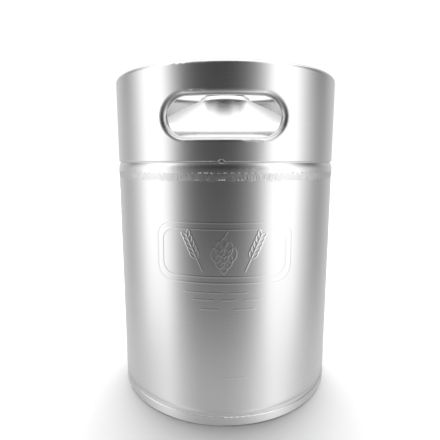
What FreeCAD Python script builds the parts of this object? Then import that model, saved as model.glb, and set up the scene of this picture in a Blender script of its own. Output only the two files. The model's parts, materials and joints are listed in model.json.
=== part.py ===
import FreeCAD, Part
import math
import os

# Beer keg of the 8 litre class. Millimetres, +Z up, origin on the floor at the keg's axis.
# The front faces -Y: the drain notch and one of the two hand holes are there.

# Vessel
KEG_RADIUS = 106.5
KEG_HEIGHT = 298.6
COLLAR_RADIUS = 106.2
CUP_SHEET = 1.2
COLLAR_SHEET = 1.5
FIT_GAP = 0.05
SKIN_GAP = 0.01

# Cup and foot
CUP_TOP_Z = 209.6
CUP_KNUCKLE = 13.0
CUP_KNUCKLE_Z = 16.0
CUP_LAND_WIDTH = 6.0
CUP_DISH_RISE = 8.0
CUP_DISH_SLOPE_WIDTH = 26.0
CUP_DISH_ROUND = 30.0
FOOT_BAND_HEIGHT = 8.7
FOOT_SHEET = 1.5
FOOT_FLANGE = 9.0
FOOT_EDGE_ROUND = 1.4
FOOT_SHEET_EDGE = 0.4
FOOT_BAND_ROUND = 0.6
FOOT_WELD_HEIGHT = 3.4
FOOT_WELD_DEPTH = 0.6

# Shoulder
SHOULDER_BOTTOM_Z = 212.6
SKIRT_TAPER_Z = 219.4
SKIRT_TAPER = 1.68
SKIRT_ROUND = 12.5
JOGGLE_Z = 222.7
JOGGLE_DEPTH = 2.9
JOGGLE_RISE = 0.3
JOGGLE_ROUND = 1.3
LAP_ROUND = 0.3
SHOULDER_KNUCKLE = 34.9
CONE_ANGLE = 25.0
NECK_SEAT_Z = 281.2
NECK_SEAT_RADIUS = 28.4
NECK_SEAT_ROUND = 1.0
SHOULDER_HOLE_RADIUS = 22.1

# Girth weld
WELD_HALF_HEIGHT = 3.5
WELD_CROWN = 0.2

# Collar, hand holes and drain notch
COLLAR_BOTTOM_Z = 223.3
COLLAR_EDGE_ROUND = 0.6
RIM_TURN_RADIUS = 4.0
RIM_TURN_ANGLE = 105.0
HAND_HOLE_Z = 257.6
HAND_HOLE_HALF_HEIGHT = 15.4
HAND_HOLE_HALF_WIDTH = 44.7
HAND_HOLE_LIP_DEPTH = 6.2
HAND_HOLE_ROLL = 4.2
DRAIN_X = -1.95
DRAIN_RADIUS = 2.3
DRAIN_TOP_Z = 225.0
DRAIN_EDGE_ROUND = 0.5
COLLAR_WELD_SET_BACK = 1.2
COLLAR_WELD_ROOT_Z = 222.4

# Neck and its thread
NECK_BORE_RADIUS = 18.0
NECK_PILOT_RADIUS = 22.0
NECK_PILOT_LENGTH = 3.5
NECK_FLANGE_RADIUS = 27.0
NECK_FLANGE_TOP_RADIUS = 23.6
NECK_FLANGE_HEIGHT = 5.4
NECK_FLANGE_ROUND = 4.0
NECK_WELD_LEG = 1.1
NECK_TOP_Z = 301.0
THREAD_ROOT_RADIUS = 19.6
THREAD_CREST_RADIUS = 20.6
THREAD_PITCH = 3.0
THREAD_TURNS = 2.25
THREAD_BASE_WIDTH = 1.4
THREAD_TIP_WIDTH = 0.7
THREAD_BITE = 0.4
NECK_THREAD_Z = 292.2

# Screw cap
CAP_RADIUS = 25.0
CAP_BOTTOM_Z = 293.0
CAP_INNER_RADIUS = 21.0
CAP_THREAD_TIP_RADIUS = 20.0
CAP_THREAD_TURNS = 1.75
CAP_PLATE = 2.5
CAP_TOP_ROUND = 1.2
CAP_GRIP_COUNT = 36
CAP_GRIP_RADIUS = 1.3
CAP_GRIP_DEPTH = 0.6
CAP_GRIP_STOP = 2.0
CAP_EDGE_ROUND = 0.6
GASKET_THICKNESS = 1.7
GASKET_INNER_RADIUS = 17.2

# Relief valve
VALVE_SHANK_RADIUS = 6.0
VALVE_SHANK_BOTTOM_Z = 295.6
VALVE_SEAT_Z = 299.0
VALVE_ORIFICE_RADIUS = 2.6
VALVE_CHAMBER_RADIUS = 4.6
WASHER_THICKNESS = 1.0
WASHER_RADIUS = 9.6
HEX_FLATS = 17.0
HEX_HEIGHT = 4.0
HEX_EASING = 0.4
NUT_FLATS = 19.0
NUT_HEIGHT = 3.6
LOCK_WASHER_THICKNESS = 0.9
LOCK_WASHER_RADIUS = 9.2
LOCK_WASHER_PLAY = 0.2
LOCK_WASHER_SLIT = 0.8
BONNET_RADIUS = 7.2
BONNET_HEIGHT = 4.2
BONNET_ROOF = 1.5
BONNET_VENT_RADIUS = 0.9
BONNET_VENT_RISE = 1.3
BONNET_ROUND = 1.0
STEM_RADIUS = 2.0
STEM_DISC_RADIUS = 3.9
STEM_DISC_THICKNESS = 1.2
STEM_PILOT_RADIUS = 1.3
STEM_TOP_Z = 319.2
STEM_TIP_ROUND = 0.9
STEM_PILOT_GAP = 0.2
SEAL_THICKNESS = 1.5
SEAL_RADIUS = 4.2
SPRING_WIRE = 0.4
SPRING_COIL_RADIUS = 3.2
SPRING_TURNS = 5.0
RING_RADIUS = 9.0
RING_WIRE = 0.75
RING_EYE_Z = 316.6
RING_EYE_RADIUS = 1.15
RING_DROOP_ANGLE = 20.0

# Worked out from the driving dimensions
NECK_FLANGE_TOP_Z = NECK_SEAT_Z + NECK_FLANGE_HEIGHT
CAP_PLATE_Z = NECK_TOP_Z + GASKET_THICKNESS
CAP_TOP_Z = CAP_PLATE_Z + CAP_PLATE
HEX_Z = CAP_TOP_Z + WASHER_THICKNESS
BONNET_Z = HEX_Z + HEX_HEIGHT
BONNET_ROOF_Z = BONNET_Z + BONNET_HEIGHT - BONNET_ROOF
STEM_DISC_Z = VALVE_SEAT_Z + SEAL_THICKNESS

UP = FreeCAD.Vector(0, 0, 1)
ORIGIN = FreeCAD.Vector(0, 0, 0)


def at(radius, z):
    """A point of a turned profile, in the XZ plane."""
    return FreeCAD.Vector(radius, 0, z)


def bent_edges(corners, closed):
    """Edges of a line through corners (radius, z, rounding), with each rounding as an arc."""
    points = [at(corner[0], corner[1]) for corner in corners]
    roundings = [corner[2] if len(corner) > 2 else 0.0 for corner in corners]
    count = len(points)
    entries = []
    exits = []
    arcs = []
    for index in range(count):
        here = points[index]
        inner = closed or 0 < index < count - 1
        if roundings[index] == 0.0 or not inner:
            entries.append(here)
            exits.append(here)
            arcs.append(None)
            continue
        back = (points[index - 1] - here).normalize()
        ahead = (points[(index + 1) % count] - here).normalize()
        half = back.getAngle(ahead) / 2
        reach = roundings[index] / math.tan(half)
        middle = (back + ahead).normalize()
        depth = roundings[index] / math.sin(half) - roundings[index]
        entries.append(here + back * reach)
        exits.append(here + ahead * reach)
        arcs.append(here + middle * depth)
    edges = []
    for index in range(count):
        if arcs[index] is not None:
            edges.append(Part.Arc(entries[index], arcs[index], exits[index]).toShape())
        last = index == count - 1
        if last and not closed:
            break
        following = entries[(index + 1) % count]
        if exits[index].distanceToPoint(following) > 1e-6:
            edges.append(Part.makeLine(exits[index], following))
    return edges


def turned(corners):
    """Solid of revolution about Z from a closed profile."""
    face = Part.Face(Part.Wire(bent_edges(corners, True)))
    return face.revolve(ORIGIN, UP, 360)


def turned_sheet(edges, thickness):
    """Sheet of revolution: an open profile thickened to one side."""
    wire = Part.Wire(edges)
    face = wire.makeOffset2D(thickness, 0, True, True)
    return face.revolve(ORIGIN, UP, 360)


def ring(inner, outer, bottom, top):
    """Plain ring, or a disc where the inner radius is zero."""
    solid = Part.makeCylinder(outer, top - bottom, at(0, bottom))
    if inner > 0:
        solid = solid.cut(Part.makeCylinder(inner, top - bottom, at(0, bottom)))
    return solid


def hexagon(flats, bottom, top):
    """Six-sided bar about Z with its corners eased by a cone at the top."""
    corner = flats / 2 / math.cos(math.pi / 6)
    points = []
    for index in range(7):
        angle = math.pi / 3 * index
        points.append(FreeCAD.Vector(corner * math.cos(angle), corner * math.sin(angle), bottom))
    bar = Part.Face(Part.makePolygon(points)).extrude(UP * (top - bottom))
    easing = corner - flats / 2 + 2 * HEX_EASING
    eased = turned([
        (0, bottom),
        (corner + HEX_EASING, bottom),
        (corner + HEX_EASING, top - easing),
        (flats / 2 - HEX_EASING, top),
        (0, top),
    ])
    return bar.common(eased)


def oval_bar(half_width, half_height, front, back):
    """Bar along Y with round ends, centred on the hand holes' height."""
    straight = half_width - half_height
    length = back - front
    low = FreeCAD.Vector(-straight, front, HAND_HOLE_Z - half_height)
    bar = Part.makeBox(2 * straight, length, 2 * half_height, low)
    for side in (-1, 1):
        centre = FreeCAD.Vector(side * straight, front, HAND_HOLE_Z)
        bar = bar.fuse(Part.makeCylinder(half_height, length, centre, FreeCAD.Vector(0, 1, 0)))
    return bar.removeSplitter()


def thread_ridge(root_radius, tip_radius, bottom, turns):
    """Helical ridge from a root radius to a tip radius; its flanks run on into the carrier."""
    helix = Part.makeHelix(THREAD_PITCH, THREAD_PITCH * turns, root_radius)
    depth = tip_radius - root_radius
    half_root = THREAD_BASE_WIDTH / 2
    half_tip = THREAD_TIP_WIDTH / 2
    buried = root_radius - THREAD_BITE * math.copysign(1, depth)
    half_buried = half_root + (half_root - half_tip) * THREAD_BITE / abs(depth)
    profile = Part.makePolygon([
        at(buried, -half_buried),
        at(tip_radius, -half_tip),
        at(tip_radius, half_tip),
        at(buried, half_buried),
        at(buried, -half_buried),
    ])
    ridge = Part.Wire(helix).makePipeShell([profile], True, True)
    ridge.translate(at(0, bottom))
    return ridge


def body_cup():
    """Drawn cup: straight wall, knuckle and a bottom dished up towards the middle."""
    land_z = CUP_KNUCKLE_Z - CUP_KNUCKLE
    land_end = KEG_RADIUS - CUP_KNUCKLE - CUP_LAND_WIDTH
    dish_z = land_z + CUP_DISH_RISE
    path = bent_edges([
        (KEG_RADIUS, CUP_TOP_Z),
        (KEG_RADIUS, land_z, CUP_KNUCKLE),
        (land_end, land_z, CUP_DISH_ROUND),
        (land_end - CUP_DISH_SLOPE_WIDTH, dish_z, CUP_DISH_ROUND),
        (0, dish_z),
    ], False)
    return turned_sheet(path, -CUP_SHEET)


def foot_ring():
    """Band under the cup with a flange turned inwards, which the keg stands on."""
    inside = KEG_RADIUS - FOOT_SHEET
    flange_end = KEG_RADIUS - FOOT_FLANGE
    return turned([
        (KEG_RADIUS, 0, FOOT_EDGE_ROUND),
        (KEG_RADIUS, FOOT_BAND_HEIGHT, FOOT_BAND_ROUND),
        (inside, FOOT_BAND_HEIGHT, FOOT_SHEET_EDGE),
        (inside, FOOT_SHEET, FOOT_SHEET_EDGE),
        (flange_end, FOOT_SHEET, FOOT_SHEET_EDGE),
        (flange_end, 0, FOOT_SHEET_EDGE),
    ])


def knuckle_radius_at(z):
    """Outer radius of the cup's knuckle at a height."""
    drop = CUP_KNUCKLE_Z - z
    return KEG_RADIUS - CUP_KNUCKLE + math.sqrt(CUP_KNUCKLE ** 2 - drop ** 2)


def foot_weld():
    """Bead in the notch between the foot band's upper edge and the cup."""
    outer = at(KEG_RADIUS - FOOT_WELD_DEPTH, FOOT_BAND_HEIGHT)
    against = []
    for share in (0, 0.5, 1):
        z = FOOT_BAND_HEIGHT + share * FOOT_WELD_HEIGHT
        against.append(at(knuckle_radius_at(z) + SKIN_GAP, z))
    edge = [
        Part.makeLine(outer, against[0]),
        Part.Arc(against[0], against[1], against[2]).toShape(),
        Part.makeLine(against[2], outer),
    ]
    return Part.Face(Part.Wire(edge)).revolve(ORIGIN, UP, 360)


def shoulder_knuckle_corner_z():
    """Height where the lines of the lap and the cone meet, outside the knuckle's rounding."""
    run = KEG_RADIUS - JOGGLE_DEPTH - NECK_SEAT_RADIUS
    return NECK_SEAT_Z - run * math.tan(math.radians(CONE_ANGLE))


def shoulder_corners():
    """Outer profile of the shoulder from its lower edge to the hole for the neck."""
    lap = KEG_RADIUS - JOGGLE_DEPTH
    knuckle_z = shoulder_knuckle_corner_z()
    return [
        (KEG_RADIUS, SHOULDER_BOTTOM_Z),
        (KEG_RADIUS, SKIRT_TAPER_Z, SKIRT_ROUND),
        (KEG_RADIUS - SKIRT_TAPER, JOGGLE_Z, JOGGLE_ROUND),
        (lap, JOGGLE_Z + JOGGLE_RISE, LAP_ROUND),
        (lap, knuckle_z, SHOULDER_KNUCKLE),
        (NECK_SEAT_RADIUS, NECK_SEAT_Z, NECK_SEAT_ROUND),
        (SHOULDER_HOLE_RADIUS, NECK_SEAT_Z),
    ]


def shoulder_dome():
    """Skirt, joggle for the collar, knuckle and cone, ending in a flat seat for the neck."""
    return turned_sheet(bent_edges(shoulder_corners(), False), CUP_SHEET)


def girth_weld():
    """Bead that fills the gap between cup and shoulder and crowns over both edges."""
    middle = (CUP_TOP_Z + SHOULDER_BOTTOM_Z) / 2
    low = middle - WELD_HALF_HEIGHT
    high = middle + WELD_HALF_HEIGHT
    root = KEG_RADIUS - CUP_SHEET
    crown = Part.Arc(
        at(KEG_RADIUS, low), at(KEG_RADIUS + WELD_CROWN, middle), at(KEG_RADIUS, high)
    ).toShape()
    corners = [
        at(KEG_RADIUS, high),
        at(KEG_RADIUS, SHOULDER_BOTTOM_Z),
        at(root, SHOULDER_BOTTOM_Z),
        at(root, CUP_TOP_Z),
        at(KEG_RADIUS, CUP_TOP_Z),
        at(KEG_RADIUS, low),
    ]
    edges = [crown]
    for start, end in zip(corners, corners[1:]):
        edges.append(Part.makeLine(start, end))
    return Part.Face(Part.Wire(edges)).revolve(ORIGIN, UP, 360)


def collar_sheet():
    """Collar wall with a turned-in lower edge and a rim turned inwards."""
    turn_centre_r = COLLAR_RADIUS - RIM_TURN_RADIUS
    turn_centre_z = KEG_HEIGHT - RIM_TURN_RADIUS
    lower = bent_edges([
        (KEG_RADIUS - JOGGLE_DEPTH + FIT_GAP, COLLAR_BOTTOM_Z),
        (COLLAR_RADIUS, COLLAR_BOTTOM_Z, COLLAR_EDGE_ROUND),
        (COLLAR_RADIUS, turn_centre_z),
    ], False)
    around = []
    for share in (0, 0.5, 1):
        angle = math.radians(RIM_TURN_ANGLE * share)
        r = turn_centre_r + RIM_TURN_RADIUS * math.cos(angle)
        around.append(at(r, turn_centre_z + RIM_TURN_RADIUS * math.sin(angle)))
    rim = Part.Arc(around[0], around[1], around[2]).toShape()
    return turned_sheet(lower + [rim], COLLAR_SHEET)


def hand_hole_lip(side):
    """Flange turned inwards around one hand hole; side is -1 at the front and 1 at the back."""
    start = side * 2 * KEG_RADIUS
    end = side * KEG_RADIUS / 2
    front = min(start, end)
    back = max(start, end)
    outer = oval_bar(HAND_HOLE_HALF_WIDTH + COLLAR_SHEET, HAND_HOLE_HALF_HEIGHT + COLLAR_SHEET,
                     front, back)
    inner = oval_bar(HAND_HOLE_HALF_WIDTH, HAND_HOLE_HALF_HEIGHT, front, back)
    depth = ring(COLLAR_RADIUS - HAND_HOLE_LIP_DEPTH, COLLAR_RADIUS, COLLAR_BOTTOM_Z, KEG_HEIGHT)
    return outer.cut(inner).common(depth)


def hand_hole_edges(shape, radius, offset):
    """Edges round the hand holes on the collar's face of this radius, up to offset outside."""
    found = []
    for edge in shape.Edges:
        middle = edge.valueAt((edge.FirstParameter + edge.LastParameter) / 2)
        on_face = abs(math.hypot(middle.x, middle.y) - radius) < SKIN_GAP
        level = abs(middle.z - HAND_HOLE_Z) < HAND_HOLE_HALF_HEIGHT + offset + SKIN_GAP
        inside = abs(middle.x) < HAND_HOLE_HALF_WIDTH + offset + SKIN_GAP
        if on_face and level and inside:
            found.append(edge)
    return found


def drain_edges(shape):
    """Edges of the drain notch's arch on the collar's outer face."""
    found = []
    for edge in shape.Edges:
        middle = edge.valueAt((edge.FirstParameter + edge.LastParameter) / 2)
        on_face = abs(math.hypot(middle.x, middle.y) - COLLAR_RADIUS) < SKIN_GAP
        inside = abs(middle.x - DRAIN_X) < DRAIN_RADIUS + SKIN_GAP
        if on_face and inside and middle.y < 0 and middle.z < DRAIN_TOP_Z + SKIN_GAP:
            found.append(edge)
    return found


def drain_cutter():
    """Arched bar along Y that opens the drain notch at the front."""
    start = FreeCAD.Vector(DRAIN_X, -2 * KEG_RADIUS, DRAIN_TOP_Z - DRAIN_RADIUS)
    length = 2 * KEG_RADIUS
    width = 2 * DRAIN_RADIUS
    arch = Part.makeCylinder(DRAIN_RADIUS, length, start, FreeCAD.Vector(0, 1, 0))
    corner = start - FreeCAD.Vector(DRAIN_RADIUS, 0, width)
    return arch.fuse(Part.makeBox(width, length, width, corner))


def handle_collar():
    """Collar with two flanged hand holes and a drain notch in its lower edge."""
    collar = collar_sheet()
    cutter = oval_bar(HAND_HOLE_HALF_WIDTH, HAND_HOLE_HALF_HEIGHT, -2 * KEG_RADIUS, 2 * KEG_RADIUS)
    collar = collar.cut(cutter)
    for side in (-1, 1):
        collar = collar.fuse(hand_hole_lip(side))
    collar = collar.removeSplitter()
    inner_edges = hand_hole_edges(collar, COLLAR_RADIUS - COLLAR_SHEET, COLLAR_SHEET)
    collar = collar.makeFillet(HAND_HOLE_ROLL - COLLAR_SHEET, inner_edges)
    collar = collar.makeFillet(HAND_HOLE_ROLL, hand_hole_edges(collar, COLLAR_RADIUS, 0))
    collar = collar.cut(drain_cutter())
    return collar.makeFillet(DRAIN_EDGE_ROUND, drain_edges(collar))


def collar_weld():
    """Bead in the groove under the collar's turned-in edge, open at the drain notch."""
    inner = KEG_RADIUS - JOGGLE_DEPTH + FIT_GAP
    outer = COLLAR_RADIUS - COLLAR_WELD_SET_BACK
    bead = ring(inner, outer, COLLAR_WELD_ROOT_Z, COLLAR_BOTTOM_Z - SKIN_GAP)
    return bead.cut(shoulder_dome()).cut(drain_cutter())


def neck_fitting():
    """Turned neck: pilot in the shoulder's hole, flange on its seat, threaded spigot."""
    blank = turned([
        (NECK_BORE_RADIUS, NECK_SEAT_Z - NECK_PILOT_LENGTH, 0.6),
        (NECK_PILOT_RADIUS, NECK_SEAT_Z - NECK_PILOT_LENGTH, 0.6),
        (NECK_PILOT_RADIUS, NECK_SEAT_Z),
        (NECK_FLANGE_RADIUS, NECK_SEAT_Z),
        (NECK_FLANGE_TOP_RADIUS, NECK_FLANGE_TOP_Z, NECK_FLANGE_ROUND),
        (THREAD_ROOT_RADIUS, NECK_FLANGE_TOP_Z, 0.8),
        (THREAD_ROOT_RADIUS, NECK_TOP_Z, 0.6),
        (NECK_BORE_RADIUS, NECK_TOP_Z, 0.4),
    ])
    ridge = thread_ridge(THREAD_ROOT_RADIUS, THREAD_CREST_RADIUS, NECK_THREAD_Z, THREAD_TURNS)
    return blank.fuse(ridge)


def neck_weld():
    """Small fillet bead around the neck flange."""
    edge = NECK_FLANGE_RADIUS + 2 * SKIN_GAP
    low = NECK_SEAT_Z + SKIN_GAP
    return turned([
        (edge, low),
        (edge + NECK_WELD_LEG, low),
        (edge, low + NECK_WELD_LEG),
    ])


def cap_shell():
    """Screw cap with finger flutes outside and a thread ridge inside."""
    cup = turned([
        (VALVE_SHANK_RADIUS + FIT_GAP, CAP_TOP_Z),
        (CAP_RADIUS, CAP_TOP_Z, CAP_TOP_ROUND),
        (CAP_RADIUS, CAP_BOTTOM_Z, CAP_EDGE_ROUND),
        (CAP_INNER_RADIUS, CAP_BOTTOM_Z, CAP_EDGE_ROUND),
        (CAP_INNER_RADIUS, CAP_PLATE_Z),
        (VALVE_SHANK_RADIUS + FIT_GAP, CAP_PLATE_Z),
    ])
    away = CAP_RADIUS + CAP_GRIP_RADIUS - CAP_GRIP_DEPTH
    length = CAP_TOP_Z - CAP_BOTTOM_Z - CAP_GRIP_STOP
    flutes = []
    for index in range(CAP_GRIP_COUNT):
        angle = 2 * math.pi * index / CAP_GRIP_COUNT
        low = FreeCAD.Vector(away * math.cos(angle), away * math.sin(angle), CAP_BOTTOM_Z)
        flutes.append(Part.makeCylinder(CAP_GRIP_RADIUS, length, low))
    cup = cup.cut(Part.makeCompound(flutes))
    ridge_z = NECK_THREAD_Z + THREAD_PITCH / 2
    return cup.fuse(thread_ridge(CAP_INNER_RADIUS, CAP_THREAD_TIP_RADIUS, ridge_z,
                                 CAP_THREAD_TURNS))


def cap_gasket():
    """Flat ring between the neck's rim and the cap's plate."""
    return ring(GASKET_INNER_RADIUS, CAP_INNER_RADIUS - FIT_GAP, NECK_TOP_Z, CAP_PLATE_Z)


def relief_body():
    """Valve bushing: shank through the cap, seat near its lower end and a hexagon on top."""
    shank = ring(0, VALVE_SHANK_RADIUS, VALVE_SHANK_BOTTOM_Z, HEX_Z)
    body = shank.fuse(hexagon(HEX_FLATS, HEX_Z, BONNET_Z))
    chamber = Part.makeCylinder(VALVE_CHAMBER_RADIUS, BONNET_Z - VALVE_SEAT_Z, at(0, VALVE_SEAT_Z))
    orifice = Part.makeCylinder(VALVE_ORIFICE_RADIUS, HEX_Z, at(0, 0))
    return body.cut(chamber).cut(orifice)


def relief_washer():
    """Seal washer under the valve's hexagon."""
    return ring(VALVE_SHANK_RADIUS + FIT_GAP, WASHER_RADIUS, CAP_TOP_Z, HEX_Z)


def relief_lock_washer():
    """Split spring washer between the lock nut and the cap."""
    top = CAP_PLATE_Z
    low = top - LOCK_WASHER_THICKNESS
    washer = ring(VALVE_SHANK_RADIUS + LOCK_WASHER_PLAY, LOCK_WASHER_RADIUS, low, top)
    corner = FreeCAD.Vector(0, -LOCK_WASHER_SLIT / 2, low)
    slit = Part.makeBox(LOCK_WASHER_RADIUS, LOCK_WASHER_SLIT, LOCK_WASHER_THICKNESS, corner)
    return washer.cut(slit)


def relief_nut():
    """Lock nut on the valve's shank, under the cap."""
    top = CAP_PLATE_Z - LOCK_WASHER_THICKNESS
    nut = hexagon(NUT_FLATS, top - NUT_HEIGHT, top)
    return nut.cut(Part.makeCylinder(VALVE_SHANK_RADIUS + FIT_GAP, CAP_TOP_Z, at(0, 0)))


def relief_bonnet():
    """Roof of the valve: guides the stem, holds the spring and vents to the sides."""
    top = BONNET_Z + BONNET_HEIGHT
    bonnet = turned([
        (STEM_RADIUS + FIT_GAP, top),
        (BONNET_RADIUS, top, BONNET_ROUND),
        (BONNET_RADIUS, BONNET_Z),
        (VALVE_CHAMBER_RADIUS, BONNET_Z),
        (VALVE_CHAMBER_RADIUS, BONNET_ROOF_Z),
        (STEM_RADIUS + FIT_GAP, BONNET_ROOF_Z),
    ])
    for direction in (FreeCAD.Vector(1, 0, 0), FreeCAD.Vector(0, 1, 0)):
        start = direction * -BONNET_RADIUS * 2 + at(0, BONNET_Z + BONNET_VENT_RISE)
        bonnet = bonnet.cut(
            Part.makeCylinder(BONNET_VENT_RADIUS, BONNET_RADIUS * 4, start, direction)
        )
    return bonnet


def relief_stem():
    """Stem with a disc over the seal and an eye for the pull ring."""
    stem = turned([
        (0, VALVE_SEAT_Z + STEM_PILOT_GAP),
        (STEM_PILOT_RADIUS, VALVE_SEAT_Z + STEM_PILOT_GAP),
        (STEM_PILOT_RADIUS, STEM_DISC_Z),
        (STEM_DISC_RADIUS, STEM_DISC_Z),
        (STEM_DISC_RADIUS, STEM_DISC_Z + STEM_DISC_THICKNESS),
        (STEM_RADIUS, STEM_DISC_Z + STEM_DISC_THICKNESS),
        (STEM_RADIUS, STEM_TOP_Z, STEM_TIP_ROUND),
        (0, STEM_TOP_Z),
    ])
    start = FreeCAD.Vector(-2 * STEM_RADIUS, 0, RING_EYE_Z)
    eye = Part.makeCylinder(RING_EYE_RADIUS, 4 * STEM_RADIUS, start, FreeCAD.Vector(1, 0, 0))
    return stem.cut(eye)


def relief_seal():
    """Rubber disc that closes the orifice."""
    return ring(STEM_PILOT_RADIUS + 2 * SKIN_GAP, SEAL_RADIUS, VALVE_SEAT_Z, STEM_DISC_Z)


def relief_spring():
    """Coil between the stem's disc and the bonnet's roof."""
    low = STEM_DISC_Z + STEM_DISC_THICKNESS + SPRING_WIRE + 2 * SKIN_GAP
    high = BONNET_ROOF_Z - SPRING_WIRE - 2 * SKIN_GAP
    pitch = (high - low) / SPRING_TURNS
    helix = Part.makeHelix(pitch, high - low, SPRING_COIL_RADIUS)
    circle = Part.makeCircle(SPRING_WIRE, at(SPRING_COIL_RADIUS, 0), FreeCAD.Vector(0, 1, 0))
    coil = Part.Wire(helix).makePipeShell([Part.Wire(circle)], True, True)
    coil.translate(at(0, low))
    return coil


def pull_ring():
    """Ring through the stem's eye, resting on the bonnet's edge towards the back."""
    loop = Part.makeTorus(RING_RADIUS, RING_WIRE)
    loop.translate(FreeCAD.Vector(0, RING_RADIUS, 0))
    loop.rotate(ORIGIN, FreeCAD.Vector(1, 0, 0), -RING_DROOP_ANGLE)
    loop.translate(at(0, RING_EYE_Z))
    return loop


SUB_PARTS = [
    body_cup, foot_ring, foot_weld, shoulder_dome, girth_weld, handle_collar, collar_weld,
    neck_fitting, neck_weld, cap_shell, cap_gasket, relief_body, relief_washer,
    relief_lock_washer, relief_nut, relief_bonnet, relief_stem, relief_seal, relief_spring,
    pull_ring,
]

os.makedirs("parts", exist_ok=True)
for build in SUB_PARTS:
    build().exportStep("parts/" + build.__name__ + ".step")
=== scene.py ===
import json
import math

import bpy
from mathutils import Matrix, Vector, noise


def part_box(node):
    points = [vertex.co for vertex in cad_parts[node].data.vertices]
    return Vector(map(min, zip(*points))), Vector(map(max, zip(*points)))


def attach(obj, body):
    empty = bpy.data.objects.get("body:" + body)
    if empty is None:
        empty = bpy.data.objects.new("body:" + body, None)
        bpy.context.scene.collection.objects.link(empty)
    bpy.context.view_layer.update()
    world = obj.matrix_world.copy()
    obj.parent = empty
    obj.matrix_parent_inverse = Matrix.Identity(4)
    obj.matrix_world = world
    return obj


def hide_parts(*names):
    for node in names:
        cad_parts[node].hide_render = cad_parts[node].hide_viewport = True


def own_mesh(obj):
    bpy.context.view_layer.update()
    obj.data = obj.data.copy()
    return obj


# A steel beer keg on a white sweep. Metres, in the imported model's own frame.

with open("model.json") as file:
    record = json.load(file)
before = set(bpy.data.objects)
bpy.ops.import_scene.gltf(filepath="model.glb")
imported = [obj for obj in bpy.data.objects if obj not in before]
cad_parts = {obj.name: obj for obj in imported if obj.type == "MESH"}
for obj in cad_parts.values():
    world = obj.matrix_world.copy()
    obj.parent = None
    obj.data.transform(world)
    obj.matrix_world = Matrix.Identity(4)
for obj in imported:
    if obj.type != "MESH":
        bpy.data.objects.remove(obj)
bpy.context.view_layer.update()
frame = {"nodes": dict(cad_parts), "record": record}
NODES = frame["nodes"]
MM = 0.001

KEG_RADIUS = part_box("body_cup")[1].x

# Camera: distance from the axis and height in keg radii, angles in degrees, lens in millimetres
CAMERA_DISTANCE = 3.680
CAMERA_HEIGHT = 2.110
CAMERA_PITCH = 9.18
CAMERA_YAW = 0.76
CAMERA_AZIMUTH = 0.4
CAMERA_LENS = 30.43
CAMERA_SENSOR = 36
CAMERA_NEAREST = 0.01


# ---------------------------------------------------------------- node helpers

# Colour sockets of the Mix node, which go by number because their names repeat
MIX_FIRST = 6
MIX_SECOND = 7
MIX_RESULT = 2


class Graph:
    """Short way to build a node tree: add() makes a node, and its inputs take values or sockets."""

    def __init__(self, tree):
        self.tree = tree
        tree.nodes.clear()

    def join(self, value, socket):
        if isinstance(value, bpy.types.NodeSocket):
            self.tree.links.new(value, socket)
        else:
            socket.default_value = value

    def add(self, kind, inputs=None, **settings):
        node = self.tree.nodes.new(kind)
        for name, value in settings.items():
            setattr(node, name, value)
        for key, value in (inputs or {}).items():
            self.join(value, node.inputs[key])
        return node

    def math(self, operation, first, second=0.0, third=0.0):
        inputs = {0: first, 1: second, 2: third}
        return self.add("ShaderNodeMath", inputs, operation=operation).outputs[0]

    def ramp(self, factor, stops, interpolation="LINEAR"):
        """Grey ramp from (place, level) stops."""
        node = self.add("ShaderNodeValToRGB", {0: factor})
        ramp = node.color_ramp
        ramp.interpolation = interpolation
        while len(ramp.elements) > 1:
            ramp.elements.remove(ramp.elements[-1])
        for index, (place, level) in enumerate(stops):
            element = ramp.elements[0] if index == 0 else ramp.elements.new(place)
            element.position = place
            element.color = (level, level, level, 1)
        return node.outputs["Color"]

    def mix(self, factor, first, second):
        node = self.add("ShaderNodeMix", data_type="RGBA")
        self.join(factor, node.inputs[0])
        self.join(first, node.inputs[MIX_FIRST])
        self.join(second, node.inputs[MIX_SECOND])
        return node.outputs[MIX_RESULT]

    def smooth(self, value, start, end):
        """0 below start, 1 above end, eased between."""
        inputs = {"Value": value, "From Min": start, "From Max": end}
        return self.add("ShaderNodeMapRange", inputs, interpolation_type="SMOOTHSTEP").outputs[0]

    def noise(self, vector, scale, detail, roughness=0.5):
        inputs = {"Vector": vector, "Scale": scale, "Detail": detail, "Roughness": roughness}
        return self.add("ShaderNodeTexNoise", inputs).outputs["Fac"]

    def compass(self, x, y):
        """Turn about Z as 0..1, with 0.5 towards the camera's side and more towards +X."""
        angle = self.math("ARCTAN2", x, self.math("MULTIPLY", y, -1.0))
        return self.math("MULTIPLY_ADD", angle, 0.5 / math.pi, 0.5)


def new_material(name):
    material = bpy.data.materials.new(name)
    material.use_nodes = True
    return material, Graph(material.node_tree)


def grey(level):
    return (level, level, level, 1)


# ---------------------------------------------------------------- studio

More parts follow.
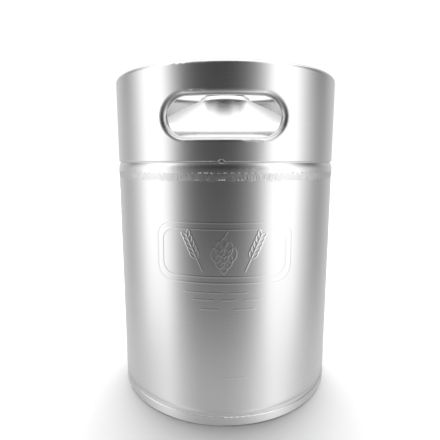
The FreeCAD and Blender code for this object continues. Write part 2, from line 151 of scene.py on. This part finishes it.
# Light by compass angle, in degrees from the camera's side of the keg, positive towards +X.
# Levels are what a perfect mirror would show. Ramps hold them divided by LIGHT_SCALE.
LIGHT_SCALE = 6.5
WALLS = [
    (-180, 0.80), (-160, 0.78), (-139, 0.74), (-125, 0.62), (-115, 0.62), (-105, 0.80),
    (-97, 1.05), (-90, 1.45), (-84, 1.7), (-64, 1.7), (-57, 1.30), (-50, 0.77), (-44, 0.48),
    (-38, 0.29), (-29, 0.155), (-15, 0.110), (0, 0.105), (10, 0.14), (20, 0.25), (30, 0.47),
    (38, 0.90), (48, 1.7), (76, 1.7), (83, 1.30), (90, 0.95), (98, 0.70), (107, 0.50),
    (117, 0.47), (131, 0.63), (152, 0.76), (180, 0.80),
]
UPPER_WALLS = [
    (-180, 0.78), (-150, 0.76), (-132, 0.72), (-120, 0.36), (-112, 0.36), (-102, 0.85),
    (-90, 1.5), (-84, 1.7), (-64, 1.7), (-55, 0.80), (-47, 0.40), (-38, 0.17), (-28, 0.07),
    (-12, 0.04), (5, 0.035), (13, 0.06), (22, 0.15), (31, 0.34), (40, 0.85), (50, 1.7),
    (74, 1.7), (82, 1.0), (92, 0.50), (100, 0.24), (108, 0.18), (117, 0.28), (128, 0.60),
    (150, 0.74), (180, 0.78),
]
NEAR_FLOOR = [
    (-180, 0.80), (-140, 0.76), (-115, 0.74), (-97, 0.82), (-82, 1.00), (-62, 1.18),
    (-50, 0.90), (-44, 0.78), (-34, 0.655), (-24, 0.585), (0, 0.58), (15, 0.65), (25, 0.76),
    (40, 1.04), (56, 1.34), (70, 1.18), (80, 0.98), (90, 0.82), (107, 0.72), (140, 0.78),
    (180, 0.80),
]
# Light on the floor itself: mostly from behind and from the sides
BACKLIGHT = [
    (-180, 6.2), (-150, 6.2), (-125, 5.0), (-105, 1.6), (-70, 0.15), (-40, 0.03), (0, 0.01),
    (40, 0.03), (70, 0.15), (105, 1.6), (125, 5.0), (150, 6.2), (180, 6.2),
]
# How much of the near floor a reflection shows, by keg radius over distance from the axis
NEARNESS = [
    (0.0, 0.0), (0.10, 0.08), (0.145, 0.15), (0.214, 0.28), (0.30, 0.50), (0.41, 0.73),
    (0.50, 0.89), (0.62, 0.99), (0.72, 1.0),
]
# Shade where keg and floor meet, by the same measure
CONTACT = [(0.85, 1.0), (1.0, 0.85)]
# Ceiling: its level, how far it comes down towards the back, and the heights where it fades in.
# Heights in the studio are sines of the angle above the floor.
CEILING = 1.9
CEILING_LEAN = 0.20
CEILING_START = 0.62
CEILING_FULL = 0.85
# Heights between which the walls turn into the upper walls
UPPER_START = 0.05
UPPER_FULL = 0.42
# Light on the floor from straight above, and the heights where it fades in
ZENITH_LIGHT = 0.3
ZENITH_START = 0.75
ZENITH_FULL = 1.0
# What the camera sees past the floor, and the floor's own colour and reach in keg radii
BACKDROP_LIGHT = 1.06
FLOOR_WHITE = (0.93, 0.93, 0.935, 1)
FLOOR_REACH = 60
# Share of the light thrown back by the steel that reaches the floor
RETURNED_LIGHT = 0.15


def compass_stops(table):
    return [((degrees + 180) / 360, level / LIGHT_SCALE) for degrees, level in table]


def thrown_back(g, path):
    """1 for what the camera sees in the steel, and less for what steel throws on the floor."""
    bounced = g.math("MINIMUM", path.outputs["Diffuse Depth"], 1.0)
    return g.math("MULTIPLY_ADD", bounced, RETURNED_LIGHT - 1.0, 1.0)


def studio_world():
    """Light seen in the steel, light on the floor, and a plain white backdrop for the camera."""
    world = bpy.data.worlds.new("studio")
    world.use_nodes = True
    bpy.context.scene.world = world
    g = Graph(world.node_tree)
    direction = g.add("ShaderNodeTexCoord").outputs["Generated"]
    x, y, z = g.add("ShaderNodeSeparateXYZ", {0: direction}).outputs
    turn = g.compass(x, y)
    walls = g.ramp(turn, compass_stops(WALLS))
    upper = g.ramp(turn, compass_stops(UPPER_WALLS))
    sides = g.mix(g.smooth(z, UPPER_START, UPPER_FULL), walls, upper)
    lean = g.math("MULTIPLY_ADD", y, CEILING_LEAN, z)
    seen = g.mix(g.smooth(lean, CEILING_START, CEILING_FULL), sides, grey(CEILING / LIGHT_SCALE))
    behind = g.ramp(turn, compass_stops(BACKLIGHT))
    falling = g.mix(g.smooth(z, ZENITH_START, ZENITH_FULL), behind, grey(ZENITH_LIGHT / LIGHT_SCALE))
    path = g.add("ShaderNodeLightPath")
    light = g.mix(path.outputs["Is Diffuse Ray"], seen, falling)
    shade = g.math("MAXIMUM", thrown_back(g, path), path.outputs["Is Diffuse Ray"])
    strength = g.math("MULTIPLY", shade, LIGHT_SCALE)
    lit = g.add("ShaderNodeBackground", {"Color": light, "Strength": strength})
    plain = g.add("ShaderNodeBackground", {"Color": grey(1.0), "Strength": BACKDROP_LIGHT})
    camera_ray = path.outputs["Is Camera Ray"]
    both = g.add("ShaderNodeMixShader", {0: camera_ray, 1: lit.outputs[0], 2: plain.outputs[0]})
    g.add("ShaderNodeOutputWorld", {"Surface": both.outputs[0]})


def studio_floor():
    """White sweep. Polished steel sees it bright close by and darker towards the camera."""
    far = FLOOR_REACH * KEG_RADIUS
    corners = [(-far, -far, 0), (far, -far, 0), (far, far, 0), (-far, far, 0)]
    mesh = bpy.data.meshes.new("floor")
    mesh.from_pydata(corners, [], [(0, 1, 2, 3)])
    floor = bpy.data.objects.new("floor", mesh)
    bpy.context.scene.collection.objects.link(floor)
    material, g = new_material("floor_white")
    geometry = g.add("ShaderNodeNewGeometry")
    place = geometry.outputs["Position"]
    ray = g.add("ShaderNodeVectorMath", {0: geometry.outputs["Incoming"], 3: -1.0}, operation="SCALE")
    x, y, z = g.add("ShaderNodeSeparateXYZ", {0: ray.outputs[0]}).outputs
    turn = g.compass(x, y)
    away = g.add("ShaderNodeVectorMath", {0: place}, operation="LENGTH").outputs["Value"]
    share = g.math("DIVIDE", KEG_RADIUS, away)
    distant = g.ramp(turn, compass_stops(WALLS))
    near = g.ramp(turn, compass_stops(NEAR_FLOOR))
    tone = g.mix(g.ramp(share, NEARNESS), distant, near)
    path = g.add("ShaderNodeLightPath")
    shade = g.math("MULTIPLY", g.ramp(share, CONTACT), LIGHT_SCALE)
    shade = g.math("MULTIPLY", shade, thrown_back(g, path))
    mirrored = g.add("ShaderNodeEmission", {"Color": tone, "Strength": shade})
    white = g.add("ShaderNodeBsdfDiffuse", {"Color": FLOOR_WHITE})
    glossy_ray = path.outputs["Is Glossy Ray"]
    both = g.add("ShaderNodeMixShader", {0: glossy_ray, 1: white.outputs[0], 2: mirrored.outputs[0]})
    g.add("ShaderNodeOutputMaterial", {"Surface": both.outputs[0]})
    mesh.materials.append(material)


def camera():
    data = bpy.data.cameras.new("camera")
    data.lens = CAMERA_LENS
    data.sensor_width = CAMERA_SENSOR
    data.clip_start = CAMERA_NEAREST
    placed = bpy.data.objects.new("camera", data)
    azimuth = math.radians(CAMERA_AZIMUTH)
    reach = CAMERA_DISTANCE * KEG_RADIUS
    height = CAMERA_HEIGHT * KEG_RADIUS
    turn = math.radians(CAMERA_YAW) + azimuth
    placed.location = (reach * math.sin(azimuth), -reach * math.cos(azimuth), height)
    placed.rotation_euler = (math.radians(90 - CAMERA_PITCH), 0, turn)
    bpy.context.scene.collection.objects.link(placed)
    bpy.context.scene.camera = placed


# ---------------------------------------------------------------- materials

# Steel: grain cells in one turn, clouds per metre, how far tint and roughness wander, and the
# grain's depth. The anisotropy is turned by a quarter.
GRAIN_CELLS = 9.0
STEEL_CLOUDS = 16.0
TINT_SPREAD = 0.03
ROUGHNESS_SPREAD = 0.05
GRAIN_DEPTH = 0.05 * MM
QUARTER_TURN = 0.25
# Inside of the collar: nearer the axis than this, the sheet is made darker and duller
COLLAR_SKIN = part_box("handle_collar")[1].x - MM
INNER_SIDE_TINT = 0.8
INNER_SIDE_ROUGHNESS = 0.36
# Weld metal: clouds and pits per metre, tint from dark to light, roughness, and the pits' depth
WELD_CLOUDS = 420.0
WELD_PITS = 1500.0
WELD_DARK = 0.58
WELD_LIGHT = 0.70
WELD_ROUGHNESS = 0.26
WELD_ROUGHNESS_SPREAD = 0.14
PIT_STRENGTH = 0.5
PIT_DEPTH = 0.1 * MM
# Rubber: specks per metre, tint from dark to light, roughness, and the specks' depth
RUBBER_SPECKS = 900.0
RUBBER_DARK = 0.018
RUBBER_LIGHT = 0.035
RUBBER_ROUGHNESS = 0.62
SPECK_STRENGTH = 0.3
SPECK_DEPTH = 0.1 * MM


def steel(name, level, roughness, anisotropy, grain, grain_strength, skin=0.0):
    """Stainless steel with its grain running round the Z axis and slight clouding.

    grain is how many lines go to a metre. Metal closer to the axis than skin is made darker
    and duller."""
    material, g = new_material(name)
    place = g.add("ShaderNodeTexCoord").outputs["Object"]
    x, y, z = g.add("ShaderNodeSeparateXYZ", {0: place}).outputs
    flat = g.add("ShaderNodeCombineXYZ", {"X": x, "Y": y}).outputs[0]
    radius = g.add("ShaderNodeVectorMath", {0: flat}, operation="LENGTH").outputs["Value"]
    unrolled = g.add("ShaderNodeCombineXYZ", {
        "X": g.math("MULTIPLY", g.compass(x, y), GRAIN_CELLS),
        "Y": g.math("MULTIPLY", z, grain),
        "Z": g.math("MULTIPLY", radius, grain),
    }).outputs[0]
    lines = g.noise(unrolled, scale=1.0, detail=3.0, roughness=0.65)
    cloud = g.noise(place, scale=STEEL_CLOUDS, detail=4.0, roughness=0.55)
    wander = g.math("ADD", g.math("SUBTRACT", cloud, 0.5), g.math("SUBTRACT", lines, 0.5))
    tint = g.mix(cloud, grey(level * (1 - TINT_SPREAD)), grey(level * (1 + TINT_SPREAD)))
    # Metal nearer the axis than skin gets a darker tint and a higher roughness
    inner_side = g.math("LESS_THAN", radius, skin)
    tint = g.mix(inner_side, tint, grey(level * INNER_SIDE_TINT))
    base = g.math("MULTIPLY_ADD", inner_side, INNER_SIDE_ROUGHNESS - roughness, roughness)
    uneven = g.math("MULTIPLY_ADD", wander, ROUGHNESS_SPREAD, base)
    bump = g.add("ShaderNodeBump", {
        "Height": lines, "Strength": grain_strength, "Distance": GRAIN_DEPTH,
    })
    tangent = g.add("ShaderNodeTangent", direction_type="RADIAL", axis="Z")
    shader = g.add("ShaderNodeBsdfPrincipled", {
        "Base Color": tint, "Metallic": 1.0, "Anisotropic": anisotropy,
        "Anisotropic Rotation": QUARTER_TURN, "Roughness": uneven,
        "Normal": bump.outputs[0], "Tangent": tangent.outputs[0],
    })
    g.add("ShaderNodeOutputMaterial", {"Surface": shader.outputs[0]})
    return material


def weld_steel(name):
    """Weld metal: rougher and duller than the sheet, with fine pitting."""
    material, g = new_material(name)
    place = g.add("ShaderNodeTexCoord").outputs["Object"]
    coarse = g.noise(place, scale=WELD_CLOUDS, detail=3.0, roughness=0.6)
    fine = g.noise(place, scale=WELD_PITS, detail=2.0)
    tint = g.mix(coarse, grey(WELD_DARK), grey(WELD_LIGHT))
    bump = g.add("ShaderNodeBump", {
        "Height": fine, "Strength": PIT_STRENGTH, "Distance": PIT_DEPTH,
    })
    shader = g.add("ShaderNodeBsdfPrincipled", {
        "Base Color": tint, "Metallic": 1.0, "Normal": bump.outputs[0],
        "Roughness": g.math("MULTIPLY_ADD", coarse, WELD_ROUGHNESS_SPREAD, WELD_ROUGHNESS),
    })
    g.add("ShaderNodeOutputMaterial", {"Surface": shader.outputs[0]})
    return material


def rubber(name):
    """Black rubber with a fine speckle."""
    material, g = new_material(name)
    place = g.add("ShaderNodeTexCoord").outputs["Object"]
    speck = g.noise(place, scale=RUBBER_SPECKS, detail=3.0)
    bump = g.add("ShaderNodeBump", {
        "Height": speck, "Strength": SPECK_STRENGTH, "Distance": SPECK_DEPTH,
    })
    shader = g.add("ShaderNodeBsdfPrincipled", {
        "Base Color": g.mix(speck, grey(RUBBER_DARK), grey(RUBBER_LIGHT)),
        "Roughness": RUBBER_ROUGHNESS,
        "Normal": bump.outputs[0],
    })
    g.add("ShaderNodeOutputMaterial", {"Surface": shader.outputs[0]})
    return material


MATERIALS = {
    "collar": steel(
        "collar_steel", level=0.66, roughness=0.26, anisotropy=0.6, grain=2600.0,
        grain_strength=0.15, skin=COLLAR_SKIN),
    "brushed_body": steel(
        "satin_steel", level=0.66, roughness=0.26, anisotropy=0.6, grain=2600.0,
        grain_strength=0.15),
    "polished_dome": steel(
        "drawn_steel", level=0.70, roughness=0.22, anisotropy=0.4, grain=1800.0,
        grain_strength=0.15),
    "weld_bead": weld_steel("weld_steel"),
    "turned_steel": steel(
        "turned_steel", level=0.68, roughness=0.16, anisotropy=0.5, grain=5200.0,
        grain_strength=0.35),
    "valve_steel": steel(
        "valve_steel", level=0.66, roughness=0.18, anisotropy=0.4, grain=6000.0,
        grain_strength=0.3),
    "spring_wire": steel(
        "wire_steel", level=0.70, roughness=0.14, anisotropy=0.0, grain=3000.0,
        grain_strength=0.1),
    "seal_rubber": rubber("seal_rubber"),
}


def finish_cad_nodes():
    for part in frame["record"]["subparts"]:
        node = NODES[part["node"]]
        kind = "collar" if part["node"] == "handle_collar" else part["material_slot"]
        node.data.materials.clear()
        node.data.materials.append(MATERIALS[kind])


# ---------------------------------------------------------------- made pieces

def made_piece(name, vertices, faces, slot_name, body, *nodes):
    """A smooth mesh that stands for CAD nodes and rides on a body."""
    mesh = bpy.data.meshes.new(name)
    mesh.from_pydata(vertices, [], faces)
    mesh.polygons.foreach_set("use_smooth", [True] * len(mesh.polygons))
    mesh.materials.append(MATERIALS[slot_name])
    piece = bpy.data.objects.new(name, mesh)
    bpy.context.scene.collection.objects.link(piece)
    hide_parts(*nodes)
    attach(piece, body)
    return piece


def smoothstep(value):
    value = max(0.0, min(1.0, value))
    return value * value * (3 - 2 * value)


def spread(start, end, step):
    """Even numbers from start to end, no further apart than step."""
    count = max(1, math.ceil(abs(end - start) / step))
    return [start + (end - start) * index / count for index in range(count + 1)]


# Raised marks on the cup, in metres along its surface: across from the middle, and height
PANEL_HALF_WIDTH = 57.5 * MM
PANEL_LOW = 127 * MM
PANEL_HIGH = 176 * MM
PANEL_ROUND = 13 * MM
PANEL_GAP = 5.2 * MM
LINE_WIDTH = 0.75 * MM
LINE_HEIGHT = 0.16 * MM
FINE_LINE = 0.6 * MM

# Grid that holds the marks
GRID_STEP = 0.42 * MM
GRID_HALF_WIDTH = 66 * MM
GRID_LOW = 36 * MM
GRID_HIGH = 184 * MM

# Ear of barley, placed from the panel's middle. The first grain and the steps between grains
# are shares of the stalk's length.
BARLEY_ACROSS = 17 * MM
BARLEY_DROP = 15 * MM
BARLEY_LENGTH = 31 * MM
BARLEY_LEAN = math.radians(24)
GRAIN_PAIRS = 5
FIRST_GRAIN = 0.38
GRAIN_PITCH = 0.14
GRAIN_SPLAY = math.radians(28)
GRAIN_HALF_LENGTH = 3.6 * MM
GRAIN_HALF_WIDTH = 1.5 * MM

# Hop cone, placed from the panel's middle: rows of scales as (height from the top row, half
# length, how many), in millimetres.
# A scale's width is a share of its length, and it leans by so many radians a place from the middle.
HOP_RISE = 9 * MM
HOP_ROWS = ((0, 4.3, 1), (-5, 6.2, 2), (-10, 6.2, 3), (-15, 6.2, 2), (-20, 5.0, 1))
SCALE_PITCH = 6.4 * MM
SCALE_SLENDERNESS = 0.55
SCALE_LEAN = 0.25
STALK_ROOT = 4.3 * MM
STALK_TOP = 9 * MM
STALK_LEAN = 3 * MM

# Plain bars in millimetres: rows as (height from the panel's lower edge, middles of the bars).
# Their lengths step up from the shortest and start again after BAR_LENGTHS of them.
BAR_ROWS = ((-8, (-24, -7, 12)), (-14, (-17, 4, 24)), (-22, (-12, 17)))
SHORTEST_BAR = 11
BAR_GROWTH = 3
BAR_LENGTHS = 3
BAR_WIDTH = 0.8 * MM
BAR_HEIGHT = 0.10 * MM
# One more bar near the foot: across, height, length
LOW_BAR = (8 * MM, 45 * MM, 20 * MM)


class Relief:
    """Heights on a grid of the cup's front, stamped line by line."""

    def __init__(self, across, up):
        self.across = across
        self.up = up
        self.heights = [[0.0] * len(across) for _ in up]

    def stamp(self, low, high, distance, width, height):
        """Raises the grid inside a box to height where distance(x, z) falls to zero."""
        columns = [i for i, x in enumerate(self.across) if low[0] - width < x < high[0] + width]
        for row, z in enumerate(self.up):
            if not low[1] - width < z < high[1] + width:
                continue
            line = self.heights[row]
            for column in columns:
                rise = height * smoothstep(1 - distance(self.across[column], z) / width)
                if rise > line[column]:
                    line[column] = rise

    def frame_line(self, half_width, low, high, rounding):
        middle = (low + high) / 2
        half_height = (high - low) / 2

        def distance(x, z):
            dx = abs(x) - half_width + rounding
            dz = abs(z - middle) - half_height + rounding
            outside = math.hypot(max(dx, 0), max(dz, 0))
            return abs(outside + min(max(dx, dz), 0) - rounding)

        self.stamp((-half_width, low), (half_width, high), distance, LINE_WIDTH, LINE_HEIGHT)

    def bar(self, start, end, width=LINE_WIDTH, height=LINE_HEIGHT):
        run = (end[0] - start[0], end[1] - start[1])
        length = run[0] ** 2 + run[1] ** 2

        def distance(x, z):
            share = ((x - start[0]) * run[0] + (z - start[1]) * run[1]) / length
            share = max(0.0, min(1.0, share))
            return math.hypot(x - start[0] - share * run[0], z - start[1] - share * run[1])

        low = (min(start[0], end[0]), min(start[1], end[1]))
        high = (max(start[0], end[0]), max(start[1], end[1]))
        self.stamp(low, high, distance, width, height)

    def leaf(self, centre, half_length, half_width, lean, width=LINE_WIDTH):
        """Outline of a pointed leaf leaning by an angle from upright."""
        sine = math.sin(lean)
        cosine = math.cos(lean)
        bow = (half_length ** 2 - half_width ** 2) / (2 * half_width)
        radius = bow + half_width

        def distance(x, z):
            dx = x - centre[0]
            dz = z - centre[1]
            along = dx * sine + dz * cosine
            over = abs(dx * cosine - dz * sine)
            tip = math.hypot(abs(along) - half_length, over)
            if abs(along) > half_length:
                return tip
            return min(tip, abs(math.hypot(over + bow, along) - radius))

        low = (centre[0] - half_length, centre[1] - half_length)
        high = (centre[0] + half_length, centre[1] + half_length)
        self.stamp(low, high, distance, width, LINE_HEIGHT)

    def barley(self, x, z, side):
        """An ear of barley: a leaning stalk with grains in pairs."""
        lean = BARLEY_LEAN * side
        sine = math.sin(lean)
        cosine = math.cos(lean)
        self.bar((x, z), (x + sine * BARLEY_LENGTH, z + cosine * BARLEY_LENGTH), FINE_LINE)
        for index in range(GRAIN_PAIRS):
            reach = BARLEY_LENGTH * (FIRST_GRAIN + GRAIN_PITCH * index)
            for way in (-1, 1):
                turn = lean + way * GRAIN_SPLAY
                root = (x + sine * reach, z + cosine * reach)
                middle = (root[0] + math.sin(turn) * GRAIN_HALF_LENGTH,
                          root[1] + math.cos(turn) * GRAIN_HALF_LENGTH)
                self.leaf(middle, GRAIN_HALF_LENGTH, GRAIN_HALF_WIDTH, turn, FINE_LINE)

    def hop(self, x, z):
        """A hop cone: overlapping pointed scales narrowing downwards, with a stalk."""
        for height, size, count in HOP_ROWS:
            for index in range(count):
                place = index - (count - 1) / 2
                centre = (x + place * SCALE_PITCH, z + height * MM)
                half_width = size * SCALE_SLENDERNESS * MM
                self.leaf(centre, size * MM, half_width, SCALE_LEAN * place)
        self.bar((x, z + STALK_ROOT), (x + STALK_LEAN, z + STALK_TOP))

    def rounded_bar(self, x, z, length):
        self.bar((x - length / 2, z), (x + length / 2, z), BAR_WIDTH, BAR_HEIGHT)


def cup_relief():
    """Double frame with a hop and two ears of barley, and plain bars below it."""
    across = spread(-GRID_HALF_WIDTH, GRID_HALF_WIDTH, GRID_STEP)
    up = spread(GRID_LOW, GRID_HIGH, GRID_STEP)
    relief = Relief(across, up)
    relief.frame_line(PANEL_HALF_WIDTH, PANEL_LOW, PANEL_HIGH, PANEL_ROUND)
    relief.frame_line(PANEL_HALF_WIDTH - PANEL_GAP, PANEL_LOW + PANEL_GAP,
                      PANEL_HIGH - PANEL_GAP, PANEL_ROUND - PANEL_GAP / 2)
    middle = (PANEL_LOW + PANEL_HIGH) / 2
    relief.hop(0, middle + HOP_RISE)
    for side in (-1, 1):
        relief.barley(side * BARLEY_ACROSS, middle - BARLEY_DROP, side)
    for height, places in BAR_ROWS:
        for index, place in enumerate(places):
            length = (SHORTEST_BAR + BAR_GROWTH * ((index + abs(height)) % BAR_LENGTHS)) * MM
            relief.rounded_bar(place * MM, PANEL_LOW + height * MM, length)
    relief.rounded_bar(*LOW_BAR)
    return relief


# Cup section, in metres: the knuckle, and the bottom dished up inside the foot
CUP_KNUCKLE = 13 * MM
CUP_SHEET = 1.2 * MM
DISH_EDGE = 81 * MM
DISH_FLAT = 61 * MM
DISH_RISE = 8 * MM
# Steps of the cup's mesh. The inner skin takes every sixth row of the outer one.
WALL_STEP = 4 * MM
KNUCKLE_STEPS = 24
DISH_STEP = 0.05
TURN_STEP = math.radians(1)
INNER_SKIP = 6


def arc_points(centre, radius, start, end, count):
    """Points (r, z) on an arc, angles in degrees from outwards to upwards."""
    points = []
    for index in range(count + 1):
        angle = math.radians(start + (end - start) * index / count)
        points.append((centre[0] + radius * math.cos(angle), centre[1] + radius * math.sin(angle)))
    return points


def ring_faces(rows, columns):
    """Quads between rows of points that run right round, closed from the last row to the first."""
    faces = []
    for row in range(rows):
        here = row * columns
        below = (row + 1) % rows * columns
        for column in range(columns):
            beside = (column + 1) % columns
            faces.append((below + column, below + beside, here + beside, here + column))
    return faces


def cup_section(low, high, marked):
    """Points (r, z) of the cup's outer and inner skin, and the row where the marks begin.

    The outer skin runs down the wall, round the knuckle and in to the middle of the base, and the
    inner skin back up. marked holds the heights of the rows with marks, from the lowest up."""
    knuckle_z = low.z + CUP_KNUCKLE
    walls = [high.z] + spread(high.z - MM, marked[-1] + MM, WALL_STEP)
    walls += marked[::-1]
    walls += spread(marked[0] - MM, knuckle_z, WALL_STEP)
    outer = [(KEG_RADIUS, z) for z in walls]
    edge = KEG_RADIUS - CUP_KNUCKLE
    outer += arc_points((edge, knuckle_z), CUP_KNUCKLE, 0, -90, KNUCKLE_STEPS)[1:]
    for share in spread(0, 1, DISH_STEP):
        outer.append((DISH_EDGE + (DISH_FLAT - DISH_EDGE) * share,
                      low.z + DISH_RISE * smoothstep(share)))
    outer.append((DISH_FLAT / 2, low.z + DISH_RISE))
    outer.append((MM, low.z + DISH_RISE))
    inner = []
    for radius, z in outer[:0:-INNER_SKIP]:
        inner.append((max(radius - CUP_SHEET, MM / 2), z + (CUP_SHEET if z < knuckle_z else 0)))
    inner.append((KEG_RADIUS - CUP_SHEET, high.z))
    return outer, inner, walls.index(marked[-1])


def embossed_cup():
    """The cup as one closed skin, round but for the raised marks on its front."""
    low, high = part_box("body_cup")
    relief = cup_relief()
    outer, inner, first_row = cup_section(low, high, relief.up)
    fine = [x / KEG_RADIUS for x in relief.across]
    coarse = spread(fine[-1], 2 * math.pi + fine[0], TURN_STEP)[1:-1]
    angles = fine + coarse
    vertices = []
    for index, (radius, z) in enumerate(outer + inner):
        row = len(relief.up) - 1 - (index - first_row)
        for column, angle in enumerate(angles):
            reach = radius
            if index < len(outer) and 0 <= row < len(relief.up) and column < len(fine):
                reach += relief.heights[row][column]
            vertices.append((reach * math.sin(angle), -reach * math.cos(angle), z))
    # In the middle of the base each skin ends in one flat face, with no quads between the two
    columns = len(angles)
    middle = (len(outer) - 1) * columns
    beyond = middle + columns
    quads = ring_faces(len(outer) + len(inner), columns)
    faces = quads[:middle] + quads[beyond:]
    faces.append(tuple(range(beyond - 1, middle - 1, -1)))
    faces.append(tuple(range(beyond, beyond + columns)))
    made_piece("embossed_cup", vertices, faces, "brushed_body", "vessel", "body_cup")


# Girth bead: weld pools in one turn, how far its edges sink below the wall, and how far the pools
# and the rough metal rise
BEAD_POOLS = 290
EDGE_SINK = 0.02 * MM
BEAD_RIPPLE = 0.03 * MM
BEAD_ROUGHNESS = 0.09 * MM
# The bead runs on under the wall by this much of its half height, so that its edges stay hidden
BEAD_REACH = 1.12
BEAD_COLUMNS = 1500
BEAD_ROWS = 13
# How far a ripple trails at the bead's edges, in pools
CHEVRON = 0.8
# Noise on the bead, in cells per metre, and how far it moves the edge. From the bead's middle to
# its edge the noise is read at a place that moves up by ACROSS_SHARE of the keg's radius.
ACROSS_SHARE = 0.05
DRIFT_CELLS = 260
SPECK_CELLS = 900
SPECK_SHARE = 0.5
POOL_CELLS = 60
EDGE_CELLS = 150
EDGE_WANDER = 0.3 * MM


def girth_bead():
    """A bead of weld: low crown, chevron ripples from its pools, and an uneven edge."""
    low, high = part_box("girth_weld")
    crown_height = high.x - KEG_RADIUS - BEAD_RIPPLE - BEAD_ROUGHNESS
    height = high.z - low.z
    pitch = 2 * math.pi / BEAD_POOLS
    vertices = []
    for row in range(BEAD_ROWS):
        across = (2 * row / (BEAD_ROWS - 1) - 1) * BEAD_REACH
        crown = 1 - across ** 2
        for column in range(BEAD_COLUMNS):
            angle = 2 * math.pi * column / BEAD_COLUMNS
            place = Vector((math.cos(angle), math.sin(angle), across * ACROSS_SHARE)) * KEG_RADIUS
            drift = noise.noise(place * DRIFT_CELLS) * BEAD_ROUGHNESS
            speck = noise.noise(place * SPECK_CELLS) * BEAD_ROUGHNESS * SPECK_SHARE
            wander = noise.noise(place * POOL_CELLS) * pitch
            phase = (angle + across * across * pitch * CHEVRON + wander) / pitch
            wave = math.cos(2 * math.pi * phase) * BEAD_RIPPLE
            reach = KEG_RADIUS - EDGE_SINK + crown * (crown_height + wave + drift + speck)
            z = low.z + height * (across + 1) / 2 + noise.noise(place * EDGE_CELLS) * EDGE_WANDER
            vertices.append((reach * math.sin(angle), -reach * math.cos(angle), z))
    inner = KEG_RADIUS - CUP_SHEET
    for z in (high.z, low.z):
        for column in range(BEAD_COLUMNS):
            angle = 2 * math.pi * column / BEAD_COLUMNS
            vertices.append((inner * math.sin(angle), -inner * math.cos(angle), z))
    faces = [face[::-1] for face in ring_faces(BEAD_ROWS + 2, BEAD_COLUMNS)]
    made_piece("girth_bead", vertices, faces, "weld_bead", "vessel", "girth_weld")


# Relief spring, in metres
SPRING_WIRE = 0.4 * MM
SPRING_TURNS = 5
STEPS_PER_TURN = 48
WIRE_SIDES = 12


def relief_coil():
    """The relief spring as a fixed coil of even pitch. The real one shortens towards its upper end as
    the stem lifts.
    """
    low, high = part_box("relief_spring")
    coil = high.x - SPRING_WIRE
    length = high.z - low.z
    steps = SPRING_TURNS * STEPS_PER_TURN
    vertices = []
    for step in range(steps + 1):
        turn = 2 * math.pi * step / STEPS_PER_TURN
        z = low.z + SPRING_WIRE + (length - 2 * SPRING_WIRE) * step / steps
        for side in range(WIRE_SIDES):
            angle = 2 * math.pi * side / WIRE_SIDES
            reach = coil + SPRING_WIRE * math.cos(angle)
            height = z + SPRING_WIRE * math.sin(angle)
            vertices.append((reach * math.cos(turn), reach * math.sin(turn), height))
    faces = [tuple(range(WIRE_SIDES))]
    for step in range(steps):
        here = step * WIRE_SIDES
        for side in range(WIRE_SIDES):
            beside = (side + 1) % WIRE_SIDES
            after = here + WIRE_SIDES
            faces.append((here + beside, here + side, after + side, after + beside))
    end = steps * WIRE_SIDES
    faces.append(tuple(range(end + WIRE_SIDES - 1, end - 1, -1)))
    coil_piece = made_piece("relief_coil", vertices, faces, "spring_wire", "cap", "relief_spring")
    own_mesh(coil_piece)


# ---------------------------------------------------------------- scene

finish_cad_nodes()
embossed_cup()
relief_coil()
girth_bead()
studio_world()
studio_floor()
camera()
bpy.context.scene.view_settings.view_transform = "Standard"
